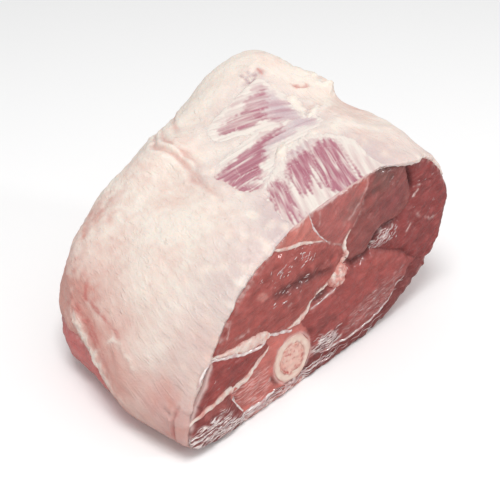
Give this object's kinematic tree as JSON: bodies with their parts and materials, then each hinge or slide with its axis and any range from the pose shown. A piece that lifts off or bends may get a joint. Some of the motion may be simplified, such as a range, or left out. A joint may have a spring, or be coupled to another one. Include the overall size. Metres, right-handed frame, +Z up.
{
  "type": "raw half leg of lamb",
  "caption": "Raw half leg of lamb on the bone, sawn across the thigh, with a pale cap of outer fat torn open over the lean on top; a food part that rests on its flat inner side.",
  "frame": {"origin": "middle of the foot of the bounding box, on the surface that the leg lies on", "axes": "+X along the sawn face from its toe to its round end, -Y out of the sawn face, +Z up"},
  "size_m": [0.1864, 0.1242, 0.1128],
  "materials": {
    "lean": "moist",
    "outer_fat": "waxy",
    "seam_fat": "moist",
    "bone": "sawn",
    "marrow": "moist"
  },
  "bodies": {
    "root": {"lean": "lean", "fat_cap": "outer_fat", "femur": "bone", "marrow": "marrow", "fat_nodule": "seam_fat", "seam_fat_upper": "seam_fat", "seam_fat_main": "seam_fat", "seam_fat_lower": "seam_fat", "seam_fat_toe": "seam_fat"}
  },
  "joints": []
}
